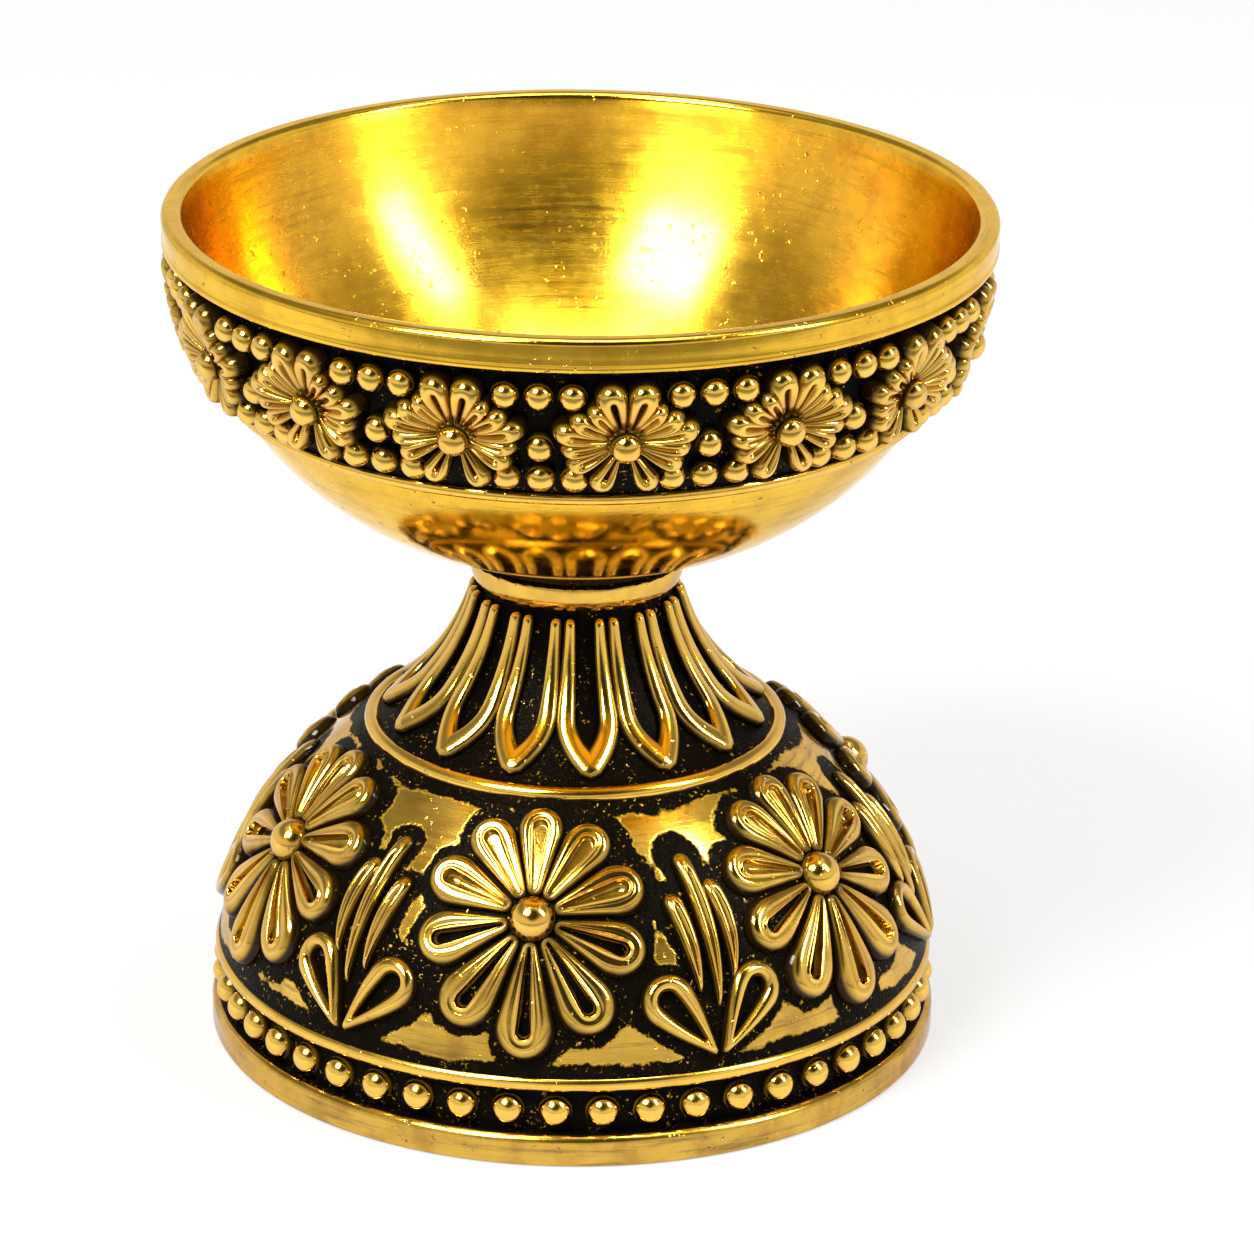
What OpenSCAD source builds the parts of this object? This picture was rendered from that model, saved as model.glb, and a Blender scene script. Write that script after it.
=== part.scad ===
// Small pedestal diya: a round oil bowl on a flared neck and a domed foot,
// dressed with soldered florets, leaf sprigs, wires and granules.
// Millimetres, +Z up, origin in the middle of the foot where it meets the table.

/* [Bowl] */
// Height of the bowl from its foot to the rim
bowl_h = 21.05; // [20:0.05:22]
// Outer radius of the rim band
rim_r = 24.15; // [23.6:0.05:24.8]
// Height of the rim band
rim_h = 1.95; // [1.4:0.05:2.2]
// Width of the rim seen from above
rim_w = 1.25; // [1:0.05:1.4]
// Radius of the arc that turns the outer wall
belly_r = 19.77; // [19.4:0.01:20]
// Distance of that arc's centre from the axis
belly_x = 3.15; // [2.9:0.01:3.4]
// Height of that arc's centre below the rim
belly_drop = 0.65; // [0.4:0.05:0.9]
// Depth of the oil well
well_depth = 19; // [18:0.1:19.2]
// Radius of the short foot under the belly
bowl_foot_r = 5.2; // [4.8:0.1:5.6]
// Height of the girdle wire's lower edge above the bowl's foot
girdle_z = 10.25; // [9.8:0.05:10.6]
// Width of the girdle wire
girdle_w = 0.75; // [0.6:0.05:0.9]
// How far the girdle wire stands out from the wall
girdle_out = 0.42; // [0.3:0.02:0.6]

/* [Collar and spigot] */
// Outer radius of the loose collar ring
collar_r = 6.32; // [6.1:0.02:6.6]
// Height of the collar ring
collar_h = 1.31; // [1:0.01:1.6]
// Radius of the bowl's spigot
spigot_r = 3.4; // [2.8:0.1:3.8]
// Length of the spigot below the bowl's foot
spigot_l = 7.2; // [5:0.1:8]

/* [Pedestal] */
// Height of the pedestal, where the collar rests
pedestal_h = 28.44; // [27.8:0.01:29]
// Radius of the foot band on the table
foot_r = 21.7; // [21.4:0.05:22]
// Height of the foot band
foot_h = 1.9; // [1.6:0.05:2]
// Radius of the bead channel's floor
channel_r = 20.65; // [20.4:0.05:20.8]
// Height of the bead channel's upper edge
channel_z = 4.55; // [4.5:0.05:4.7]
// Width of the wire above the bead channel
foot_wire_w = 0.9; // [0.7:0.05:0.95]
// How far that wire stands out from the dome
foot_wire_out = 0.2; // [0.1:0.02:0.3]
// Radius of the dome's sphere
dome_r = 21.7; // [21.5:0.05:21.9]
// Height of that sphere's centre
dome_z = 1.2; // [1:0.05:1.4]
// Thickness of the dome's wall
dome_wall = 2.3; // [1.8:0.1:2.6]
// Radius at the top of the neck
neck_top_r = 5.5; // [5.3:0.05:5.8]
// Radius of the concave arc that flares the neck
neck_arc_r = 13.69; // [13.5:0.01:13.9]
// Height of that arc's centre above the pedestal's top
neck_arc_up = 2.58; // [2.3:0.02:2.8]
// Radius of the wire round the dome's shoulder
shoulder_wire_r = 0.45; // [0.35:0.01:0.5]

/* [Dome flowers] */
// Number of flowers round the dome
dome_flower_n = 6; // [6]
// Turn of the first flower from the front
dome_flower_turn = -7.5; // [-12:0.5:0]
// Latitude of the flowers on the dome
dome_flower_lat = 35.2; // [34:0.1:35.5]
// Petals of a dome flower
petal_n = 10; // [10]
// Reach of a petal at the flower's top and sides
dome_petal_reach = 6.75; // [6.4:0.05:6.9]
// Extra reach of the petal that points down
dome_petal_drop = 1.3; // [0:0.05:1.4]
// How far the petals crowd towards the top
dome_petal_crowd = 10; // [0:1:10]
// Height of the petals above the dome
dome_petal_up = 0.8; // [0.6:0.05:0.9]
// Radius of the ball in the middle
dome_ball_r = 1.25; // [1:0.05:1.35]

/* [Leaf sprigs] */
// Turn of a sprig from the middle between two flowers
sprig_turn = 1; // [0:0.1:1.1]
// Latitude of a sprig's foot
sprig_lat = 13.5; // [13:0.5:14]
// Length of the two loop leaves
loop_l = 5.85; // [5.4:0.05:5.9]
// Half width of a loop leaf, as the factor of its drop-shaped outline
loop_w = 2.25; // [2:0.05:2.3]
// Width of a loop leaf's rim
loop_rim = 0.9; // [0.7:0.05:1]
// Lean of the loop leaves to each side
loop_lean = 37; // [35:1:39]
// Length of the middle blade
blade_l = 9; // [8:0.1:9.2]
// Length of the side blades
side_blade_l = 5.8; // [5:0.1:6]
// Height of leaves and blades above the dome
leaf_up = 0.72; // [0.5:0.02:0.8]

/* [Bowl flowers] */
// Number of flowers round the bowl
bowl_flower_n = 15; // [15]
// Turn of the first flower from the front
bowl_flower_turn = 6.6; // [0:0.2:12]
// Height of the flowers above the bowl's foot
bowl_flower_z = 14.7; // [14.6:0.05:14.8]
// Reach of the longest petals, which point to the side
bowl_petal_reach = 4.2; // [4:0.05:4.25]
// Height of the petals above the wall
bowl_petal_up = 1.1; // [1:0.05:1.2]
// Radius of the ball in the middle
bowl_ball_r = 0.88; // [0.8:0.02:0.95]

/* [Granules] */
// Radius of the granules on the bowl
bowl_bead_r = 0.75; // [0.65:0.01:0.76]
// Number of beads round the foot
foot_bead_n = 48; // [48]
// Radius of the beads round the foot
foot_bead_r = 0.9; // [0.8:0.02:0.94]
// Turn of the first foot bead from the front
foot_bead_turn = -2.5; // [-3:0.5:3]

/* [Neck petals] */
// Number of wire petals round the neck
neck_petal_n = 15; // [15]
// Turn of the first petal from the front
neck_petal_turn = 4.7; // [0:0.1:12]
// Half width of a petal's middle line where it is widest, in degrees round the neck
neck_petal_wide = 8.6; // [8:0.1:8.8]
// The same at the collar
neck_petal_top = 8.5; // [8:0.1:8.7]
// Width of the wire at the collar
neck_wire_w = 0.56; // [0.4:0.02:0.6]
// Width of the wire at the petal's tip
neck_tip_w = 1.1; // [0.9:0.02:1.16]
// Height of the wire above the neck
neck_wire_up = 0.55; // [0.4:0.02:0.6]

/* [Hidden] */
$fn = 64;
// Facets of the small balls, which stay round in the solids
ball_fn = 24;
// Small gap of a sliding fit
fit = 0.05;

// Levels, from the table up
collar_z = pedestal_h;
bowl_z = collar_z + collar_h;
rim_z = bowl_z + bowl_h;
belly_z = rim_z - belly_drop;
dome_foot_z = channel_z + foot_wire_w;
// The foot wire sits on a ledge a little wider than the channel's floor
wire_seat_r = channel_r + 0.25;
// Level where the dome meets the neck, and roof of the hollow under the dome
shoulder_z = 19.2;
hollow_top = 16.5;
// Extra length of the socket below the spigot
socket_room = 0.5;
// How far profiles reach into each other or past each other
overlap = 1;

// The oil well is a spherical cap under the rim's inner edge
rim_in_r = rim_r - rim_w;
well_r = (rim_in_r * rim_in_r + well_depth * well_depth) / (2 * well_depth);
well_z = rim_z - well_depth + well_r;

// Centre of the neck's concave arc
neck_arc_z = pedestal_h + neck_arc_up;
neck_arc_x = neck_top_r + sqrt(neck_arc_r * neck_arc_r - neck_arc_up * neck_arc_up);

// Radius of the belly and of the neck at a height
function belly_at(z) = belly_x + sqrt(belly_r * belly_r - (belly_z - z) * (belly_z - z));
function neck_at(z) = neck_arc_x - sqrt(neck_arc_r * neck_arc_r - (neck_arc_z - z) * (neck_arc_z - z));

// Points of an arc in a turned profile
function arc(x, z, r, from, to, steps = 6) =
    [for (i = [0:steps]) let (a = from + (to - from) * i / steps) [x + r * cos(a), z + r * sin(a)]];

// A place on the dome's front: u to the right and v up along the surface from a latitude, raised by h
function dome_point(lat, u, v, h) =
    let (
        reach = norm([u, v]) / dome_r * 180 / PI,
        bearing = atan2(u, v),
        x = sin(reach) * sin(bearing),
        y = sin(reach) * cos(bearing),
        back = y * sin(lat) - cos(reach) * cos(lat),
        up = y * cos(lat) + cos(reach) * sin(lat)
    )
    [0, 0, dome_z] + (dome_r + h) * [x, back, up];

// A place on the neck at an angle from the front and a height, raised by h along the normal
function neck_point(turn, z, h) =
    let (
        r = neck_at(z),
        out = r + h * (neck_arc_x - r) / neck_arc_r,
        up = z + h * (neck_arc_z - z) / neck_arc_r
    )
    [out * sin(turn), -out * cos(turn), up];

// Steps across a half-round wire, from one edge over the top to the other
edge_steps = 4;

// Skin of a half-round wire: one ring of points for each step along it
module wire_skin(rings) {
    n = len(rings);
    k = len(rings[0]);
    sides = [for (i = [0:n - 2], j = [0:k - 1]) let (a = i * k + j, b = i * k + (j + 1) % k)
        each [[a, b + k, b], [a, a + k, b + k]]];
    first = [for (j = [0:k - 1]) j];
    last = [for (j = [k - 1:-1:0]) (n - 1) * k + j];
    polyhedron([for (ring = rings) each ring], concat(sides, [first, last]));
}

// Skin of a half-round wire whose ends meet
module closed_skin(rings) {
    n = len(rings);
    k = len(rings[0]);
    function at(i, j) = (i % n) * k + j % k;
    polyhedron([for (ring = rings) each ring], [for (i = [0:n - 1], j = [0:k - 1])
        each [[at(i, j), at(i, j + 1), at(i + 1, j + 1)], [at(i, j), at(i + 1, j + 1), at(i + 1, j)]]]);
}

// Turned profiles

module belly_profile() {
    intersection() {
        translate([belly_x, belly_z])
            circle(belly_r, $fn = 180);
        translate([0, bowl_z])
            square([rim_r, rim_z - rim_h / 2 - bowl_z]);
    }
}

module bowl_profile() {
    edge = 0.4;
    chamfer = 0.2;
    bowl_foot_h = 1.2;
    band_z = rim_z - rim_h;
    band_in_r = rim_in_r - 1.5 * overlap;
    difference() {
        union() {
            belly_profile();
            translate([0, bowl_z])
                square([bowl_foot_r, bowl_foot_h]);
            translate([0, bowl_z - spigot_l])
                square([spigot_r, spigot_l + overlap]);
            polygon(concat(
                [[band_in_r, band_z], [rim_r - chamfer, band_z], [rim_r, band_z + chamfer]],
                arc(rim_r - edge, rim_z - edge, edge, 0, 90),
                arc(rim_in_r + edge, rim_z - edge, edge, 90, 180),
                [[band_in_r, rim_z - edge]]));
        }
        translate([0, well_z])
            circle(well_r, $fn = 180);
    }
}

module pedestal_profile() {
    edge = 0.3;
    polygon(concat([[0, 0]],
        arc(foot_r - edge, edge, edge, -90, 0),
        arc(foot_r - edge, foot_h - edge, edge, 0, 90),
        [[0, foot_h]]));
    square([channel_r, channel_z]);
    translate([0, channel_z])
        square([wire_seat_r, foot_wire_w]);
    intersection() {
        translate([0, dome_z])
            circle(dome_r, $fn = 180);
        translate([0, dome_foot_z])
            square([dome_r, shoulder_z - dome_foot_z]);
    }
    difference() {
        translate([0, shoulder_z - overlap])
            square([neck_at(shoulder_z), pedestal_h - shoulder_z + overlap]);
        translate([neck_arc_x, neck_arc_z])
            circle(neck_arc_r, $fn = 180);
    }
}

// Parts that are turned

module bowl() {
    color("goldenrod")
        rotate_extrude($fn = 180)
            intersection() {
                bowl_profile();
                square([rim_r + overlap, rim_z + overlap]);
            }
}

module girdle_wire() {
    middle = bowl_z + girdle_z + girdle_w / 2;
    outer = belly_at(middle) + girdle_out;
    bulge = girdle_w / 2;
    root_r = outer - 1.6 * overlap;
    color("gold")
        rotate_extrude($fn = 180)
            difference() {
                polygon(concat([[root_r, middle - bulge]], arc(outer - bulge, middle, bulge, -90, 90),
                    [[root_r, middle + bulge]]));
                belly_profile();
            }
}

// The collar swells from the neck to its rounded upper edge
module collar() {
    edge = 0.3;
    swell = collar_h;
    edge_z = bowl_z - edge;
    color("gold")
        rotate_extrude($fn = 120)
            polygon(concat([[spigot_r + fit, collar_z]],
                arc(collar_r - swell, edge_z, swell, -asin((edge_z - collar_z) / swell), 0, 8),
                arc(collar_r - edge, edge_z, edge, 0, 90, 4),
                [[spigot_r + fit, bowl_z]]));
}

module pedestal() {
    color("darkgoldenrod")
        rotate_extrude($fn = 180)
            difference() {
                intersection() {
                    pedestal_profile();
                    square([foot_r + overlap, rim_z]);
                }
                intersection() {
                    translate([0, dome_z])
                        circle(dome_r - dome_wall, $fn = 180);
                    translate([0, -overlap])
                        square([dome_r, hollow_top + overlap]);
                }
                translate([0, bowl_z - spigot_l - socket_room])
                    square([spigot_r + fit, pedestal_h]);
            }
}

module shoulder_wire() {
    sunk = 0.1;
    color("gold")
        rotate_extrude($fn = 120)
            difference() {
                translate([neck_at(shoulder_z), shoulder_z - sunk])
                    circle(shoulder_wire_r, $fn = 32);
                pedestal_profile();
            }
}

module foot_wire() {
    bulge = foot_wire_w / 2;
    outer = sqrt(dome_r * dome_r - pow(dome_foot_z - dome_z, 2)) + foot_wire_out;
    color("gold")
        rotate_extrude($fn = 120)
            polygon(concat([[wire_seat_r, channel_z]],
                arc(outer - bulge, channel_z + bulge, bulge, -90, 90),
                [[wire_seat_r, dome_foot_z]]));
}

// Florets

// A drop of revolution along +Y, from its thin end at the origin to its round end
module drop(l, thin_r, round_r, steps) {
    lean = asin((round_r - thin_r) / (l - round_r));
    last_angle = 75;
    rotate([-90, 0, 0])
        rotate_extrude($fn = ball_fn)
            polygon(concat([[0, 0], [thin_r, 0]],
                arc(0, l - round_r, round_r, -lean, last_angle, steps),
                [[0, l]]));
}

// One petal with its groove, along +Y from the flower's middle, on a tangent plane at z = 0.
// Its round end is sunk so that its top stays at the height "up"; the groove's axis lies above its top.
module petal(start, reach, thin_r, round_r, up, groove_r, groove_up) {
    l = reach - start;
    sink = round_r - up;
    thin_up = up * 0.6;
    tilt = asin((sink + thin_r - thin_up) / (l - round_r));
    groove_start = l * 0.1;
    groove_l = l * 0.68;
    groove_thin_r = groove_r * 0.45;
    translate([0, start, thin_up - thin_r])
        rotate([-tilt, 0, 0])
            difference() {
                drop(l, thin_r, round_r, 3);
                translate([0, groove_start, thin_r + groove_up])
                    rotate([asin((round_r - thin_r) / (l - round_r)), 0, 0])
                        drop(groove_l, groove_thin_r, groove_r, 2);
            }
}

// Direction of a dome flower's petal, clockwise from up: the upper ones stand closer together
function petal_dir(i) =
    let (a = i * 360 / petal_n)
    a - dome_petal_crowd * sin(a) * (1 + cos(a)) / 2;

module dome_flower(n) {
    lon = dome_flower_turn + (n - 1) * 360 / dome_flower_n;
    ball_up = 0.15;
    seat_r = dome_ball_r * 1.9;
    seat_up = 0.25;
    color("goldenrod")
        translate([0, 0, dome_z])
            rotate([90 - dome_flower_lat, 0, lon])
                difference() {
                    union() {
                        translate([0, 0, dome_r + ball_up])
                            sphere(dome_ball_r, $fn = ball_fn);
                        intersection() {
                            cylinder(r = seat_r, h = 2 * dome_r);
                            sphere(dome_r + seat_up, $fn = 180);
                        }
                        for (i = [0:petal_n - 1])
                            dome_petal(petal_dir(i), (petal_dir(i + 1) - petal_dir(i - 1)) / 2);
                    }
                    sphere(dome_r, $fn = 180);
                }
}

module dome_petal(dir, pitch) {
    start = dome_ball_r + 0.1;
    reach = dome_petal_reach + dome_petal_drop * pow(max(0, -cos(dir)), 2);
    middle = (start + reach) / 2;
    // Neighbours keep a narrow gap at the middle of their round ends
    round_r = (reach - 1.5) * sin(pitch / 2) * 0.86;
    thin_r = 0.42;
    groove_r = 0.5;
    sunk = 0.2;
    rotate([-middle / dome_r * 180 / PI, 0, -dir])
        translate([0, -middle, dome_r - sunk])
            petal(start, reach, thin_r, round_r, dome_petal_up + sunk, groove_r, groove_r * 0.35);
}

module bowl_flower(n) {
    lon = bowl_flower_turn + (n - 1) * 360 / bowl_flower_n;
    ball_up = 0.55;
    color("goldenrod")
        difference() {
            on_belly(lon, bowl_z + bowl_flower_z) {
                translate([0, 0, ball_up])
                    sphere(bowl_ball_r, $fn = ball_fn);
                for (side = [-1, 1], petal = bowl_petals)
                    bowl_petal(side * petal[0], petal[1] * bowl_petal_reach, petal[2]);
            }
            rotate_extrude($fn = 180)
                belly_profile();
        }
}

// Sets what is modelled on the XY plane on the bowl's outside, at an angle from the front and a height
module on_belly(lon, z) {
    down = asin((belly_z - z) / belly_r);
    translate([belly_at(z) * sin(lon), -belly_at(z) * cos(lon), z])
        rotate([90 + down, 0, lon])
            children();
}

// Half a bowl flower's petals: direction from up, reach as a share of the longest, radius of the round end
bowl_petals = [[17, 0.95, 0.62], [37, 0.74, 0.4], [60, 0.88, 0.45], [74, 1, 0.45], [89, 0.86, 0.4],
    [110, 0.8, 0.45], [154, 0.79, 0.5]];

// The petals' round ends lean back towards the wall
module bowl_petal(dir, reach, round_r) {
    lean = 4.5;
    start = 0.6;
    thin_r = 0.3;
    groove_r = round_r * 0.42;
    rotate([-lean, 0, -dir])
        translate([0, 0, bowl_petal_up - round_r])
            petal(start, reach, thin_r, round_r, round_r, groove_r, groove_r * 0.5);
}

// Leaf sprigs

// A place on a drop-shaped outline with its thin end at a start along +Y
function drop_outline(t, start, l, w) = [w * sin(t) * pow(sin(t / 2), 1.6), start + l * (1 - cos(t)) / 2];

// A loop leaf: a half-round rim between an outer and an inner drop, leaning to one side of the foot
loop_steps = 20;
loop_apart = 0.15;
module loop_leaf(side) {
    inner_start = 1.35;
    inner_w = loop_w - loop_rim * 1.5;
    inner_l = loop_l - inner_start - loop_rim;
    closed_skin([for (i = [0:loop_steps - 1])
        let (
            t = 360 * i / loop_steps,
            outer = drop_outline(t, 0, loop_l, loop_w),
            inner = drop_outline(t, inner_start, inner_l, inner_w)
        )
        [for (j = [0:edge_steps])
            let (
                a = 180 * j / edge_steps,
                p = outer + (inner - outer) * (1 - cos(a)) / 2,
                x = side * (loop_apart + p.y * sin(loop_lean)) + p.x * cos(loop_lean),
                y = p.y * cos(loop_lean) - side * p.x * sin(loop_lean)
            )
            dome_point(sprig_lat, x, y, leaf_up * sin(a))]]);
}

// Middle line of a blade that bows sideways
blade_steps = 8;
function blade_line(start, l, lean, bow) =
    [for (i = [0:blade_steps])
        let (t = i / blade_steps, across = bow * 4 * t * (1 - t))
        start + [l * t * sin(lean) + across * cos(lean), l * t * cos(lean) - across * sin(lean)]];

// A half-round strip along a line on the dome, with a half width for each point.
// It is as high as the leaves where it is wide, and lower at its thin ends.
module dome_strip(line, half_widths) {
    last = len(line) - 1;
    full_half = 0.3;
    wire_skin([for (i = [0:last])
        let (
            ahead = line[min(i + 1, last)] - line[max(i - 1, 0)],
            side = [ahead.y, -ahead.x] / norm(ahead)
        )
        [for (j = [0:edge_steps])
            let (
                a = 180 * j / edge_steps,
                p = line[i] - side * half_widths[i] * cos(a)
            )
            dome_point(sprig_lat, p.x, p.y, leaf_up * min(1, half_widths[i] / full_half) * sin(a))]]);
}

// Two loop leaves and three blades; every second sprig is mirrored, so that pairs lean together
module leaf_sprig(n) {
    mirrored = n % 2 == 0 ? 1 : 0;
    turn = (n - 0.5) * 360 / dome_flower_n + sprig_turn * (1 - 2 * mirrored);
    // Half widths of the blades, which are pointed spindles
    blade_half = [for (i = [0:blade_steps]) 0.06 + 0.5 * pow(sin(180 * pow(i / blade_steps, 1.25)), 0.8)];
    // Start, length, lean and bow of the three blades
    middle_blade = blade_line([0.2, 2.6], blade_l, -4, 0.35);
    left_blade = blade_line([-0.8, 3.7], side_blade_l, -8, 0.2);
    right_blade = blade_line([1.2, 4.25], side_blade_l, -4, 0.4);
    color("goldenrod")
        rotate([0, 0, dome_flower_turn + turn])
            mirror([mirrored, 0, 0]) {
                for (side = [-1, 1])
                    loop_leaf(side);
                for (line = [middle_blade, left_blade, right_blade])
                    dome_strip(line, blade_half);
            }
}

// Granules

// Between two flowers: three granules above, one in the middle and three below
module bowl_beads() {
    lift = 0.4;
    pitch = 2.45 * bowl_bead_r;
    // Height from the flowers' middle and places of each row
    rows = [[2.85, [-1, 0, 1]], [-0.25, [0]], [-2.2, [-1, 0, 1]]];
    color("gold")
        difference() {
            for (n = [1:bowl_flower_n], row = rows, place = row[1]) {
                z = bowl_z + bowl_flower_z + row[0];
                turn = place * pitch / belly_at(z) * 180 / PI;
                on_belly(bowl_flower_turn + (n - 0.5) * 360 / bowl_flower_n + turn, z)
                    translate([0, 0, lift])
                        sphere(bowl_bead_r, $fn = ball_fn);
            }
            rotate_extrude($fn = 180)
                belly_profile();
        }
}

module foot_beads() {
    z = (foot_h + channel_z) / 2;
    r = foot_r - foot_bead_r;
    color("gold")
        difference() {
            for (n = [0:foot_bead_n - 1])
                rotate([0, 0, foot_bead_turn + n * 360 / foot_bead_n])
                    translate([0, -r, z])
                        sphere(foot_bead_r, $fn = ball_fn);
            cylinder(r = channel_r, h = channel_z, $fn = 180);
        }
}

// Neck petals

// Levels of a petal's tip and of its open end under the collar
petal_tip_z = 19.95;
petal_top_z = pedestal_h - 0.3;
petal_steps = 8;

module neck_petal(n) {
    lon = neck_petal_turn + (n - 1) * 360 / neck_petal_n;
    bend = 0.3;
    // Half angle of the middle line at a share of the height: an ogive below, straight legs above
    function half_angle(q) = q < bend
        ? neck_petal_wide * (1 - pow(1 - q / bend, 2))
        : neck_petal_wide + (neck_petal_top - neck_petal_wide) * (q - bend) / (1 - bend);
    function line(i) =
        // Points lie closer together near the tip
        let (q = pow(abs(i) / petal_steps, 1.7))
        [sign(i) * half_angle(q), petal_tip_z + (petal_top_z - petal_tip_z) * q];
    color("goldenrod")
        rotate([0, 0, lon])
            wire_skin([for (i = [-petal_steps:petal_steps])
                let (
                    here = line(i),
                    ahead = line(min(i + 1, petal_steps)) - line(max(i - 1, -petal_steps)),
                    r = neck_at(here.y),
                    slope = norm([neck_at(here.y - 0.1) - r, 0.1]) / 0.1,
                    run = [ahead.x * r * PI / 180, ahead.y * slope],
                    side = [run.y, -run.x] / norm(run),
                    w = neck_tip_w + (neck_wire_w - neck_tip_w) * abs(i) / petal_steps
                )
                [for (j = [0:edge_steps])
                    let (
                        a = 180 * j / edge_steps,
                        p = -side * w / 2 * cos(a)
                    )
                    neck_point(here.x + p.x / r * 180 / PI, here.y + p.y / slope, neck_wire_up * sin(a))]]);
}

function numbered(name, count) = [for (n = [1:count]) str(name, "_", n)];

bowl();
girdle_wire();
collar();
pedestal();
shoulder_wire();
foot_wire();
bowl_beads();
foot_beads();
for (n = [1:bowl_flower_n])
    bowl_flower(n);
for (n = [1:dome_flower_n])
    dome_flower(n);
for (n = [1:dome_flower_n])
    leaf_sprig(n);
for (n = [1:neck_petal_n])
    neck_petal(n);
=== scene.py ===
from math import asin, cos, pi, radians, sin, sqrt, tan, tau

import bpy
import numpy as np
import mathutils.noise
from mathutils import Matrix, Vector, kdtree


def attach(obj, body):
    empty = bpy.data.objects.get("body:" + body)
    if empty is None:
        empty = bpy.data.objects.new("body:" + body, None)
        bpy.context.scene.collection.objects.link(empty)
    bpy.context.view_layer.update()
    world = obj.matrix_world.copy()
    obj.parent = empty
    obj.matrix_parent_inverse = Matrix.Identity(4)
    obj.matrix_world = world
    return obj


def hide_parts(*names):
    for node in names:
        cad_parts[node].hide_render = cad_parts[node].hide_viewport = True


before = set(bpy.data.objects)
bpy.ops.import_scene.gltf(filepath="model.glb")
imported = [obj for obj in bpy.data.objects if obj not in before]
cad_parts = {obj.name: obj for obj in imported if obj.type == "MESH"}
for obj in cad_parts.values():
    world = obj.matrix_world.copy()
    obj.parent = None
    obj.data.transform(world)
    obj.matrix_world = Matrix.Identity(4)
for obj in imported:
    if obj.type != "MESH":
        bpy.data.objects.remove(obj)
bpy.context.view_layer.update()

# The pedestal: a domed foot and a flared neck, cast hollow in brass and turned on a lathe.
# Its foot band stands on the table, a channel above the band takes the beads, and the neck
# ends in a socket for the bowl's spigot.
MM = 0.001
FOOT_R, FOOT_H, FOOT_EDGE, FOOT_TOP_EDGE = 21.7, 1.9, 0.3, 0.5
CHANNEL_R, CHANNEL_Z = 20.65, 4.55
WIRE_SEAT_R, DOME_FOOT_Z = 20.9, 5.45
DOME_R, DOME_Z, DOME_WALL = 21.7, 1.2, 2.3
SHOULDER_Z, HOLLOW_TOP = 19.2, 16.5
PEDESTAL_H, NECK_TOP_R = 28.44, 5.5
NECK_ARC_R, NECK_ARC_Z = 13.69, 31.02
NECK_ARC_X = NECK_TOP_R + sqrt(NECK_ARC_R ** 2 - (NECK_ARC_Z - PEDESTAL_H) ** 2)
SOCKET_R, SOCKET_Z = 3.45, 22.05
TURN_STEPS = 288


def deselect():
    """Leaves object mode with nothing selected."""
    if bpy.context.object and bpy.context.object.mode != "OBJECT":
        bpy.ops.object.mode_set(mode="OBJECT")
    bpy.ops.object.select_all(action="DESELECT")


def arc(x, z, r, start, end, steps):
    """Points of an arc in a turned outline, with its angles in degrees."""
    angles = np.radians(np.linspace(start, end, steps + 1))
    return [(x + r * cos(a), z + r * sin(a)) for a in angles]


def points_of(piece):
    """The places of a piece's vertices as rows of x, y, z."""
    points = np.empty(len(piece.data.vertices) * 3)
    piece.data.vertices.foreach_get("co", points)
    return points.reshape(-1, 3)


def move_points(piece, points):
    """Puts a piece's vertices where the rows of x, y, z say."""
    piece.data.vertices.foreach_set("co", np.ascontiguousarray(points).ravel())
    piece.data.update()


def note(piece, name, values):
    """Keeps one number for each vertex, for the materials to read."""
    kept = piece.data.attributes.get(name) or piece.data.attributes.new(name, "FLOAT", "POINT")
    kept.data.foreach_set("value", np.asarray(values, dtype=np.float32))


def turned(name, outline, steps):
    """Spins an outline of (radius, height) points in millimetres round the axis into a closed piece."""
    deselect()
    bpy.ops.mesh.primitive_plane_add(size=MM)
    piece = bpy.context.object
    piece.name = name
    places = [Vector((r * MM, 0, z * MM)) for r, z in outline]
    bpy.ops.object.mode_set(mode="EDIT")
    bpy.ops.mesh.merge(type="CENTER")
    bpy.ops.transform.translate(value=places[0])
    for here, there in zip(places, places[1:]):
        bpy.ops.mesh.extrude_region_move(TRANSFORM_OT_translate={"value": there - here})
    bpy.ops.mesh.select_all(action="SELECT")
    bpy.ops.mesh.spin(steps=steps, angle=tau, center=(0, 0, 0), axis=(0, 0, 1))
    bpy.ops.mesh.select_all(action="SELECT")
    bpy.ops.mesh.remove_doubles(threshold=1e-6)
    bpy.ops.mesh.normals_make_consistent(inside=False)
    bpy.ops.object.mode_set(mode="OBJECT")
    bpy.ops.object.shade_smooth_by_angle(angle=radians(38))
    # How far along the outline a point lies, in millimetres, for the lines that turning leaves
    ends = np.array(outline)
    run = np.concatenate([[0], np.cumsum(np.hypot(*np.diff(ends, axis=0).T))])
    points = points_of(piece) / MM
    radius = np.hypot(points[:, 0], points[:, 1])
    gap = np.hypot(radius[:, None] - ends[None, :, 0], points[:, 2][:, None] - ends[None, :, 1])
    note(piece, "run", run[gap.argmin(axis=1)])
    return piece


def node(tree, kind, inputs=None, **settings):
    """Adds a shader node, sets it up, and links or fills its inputs."""
    made = tree.nodes.new("ShaderNode" + kind)
    for key, value in settings.items():
        setattr(made, key, value)
    for key, value in (inputs or {}).items():
        if isinstance(value, bpy.types.NodeSocket):
            tree.links.new(value, made.inputs[key])
        else:
            made.inputs[key].default_value = value
    return made


def calc(tree, operation, *values):
    """A Math node's result."""
    return node(tree, "Math", dict(enumerate(values)), operation=operation).outputs[0]


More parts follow.
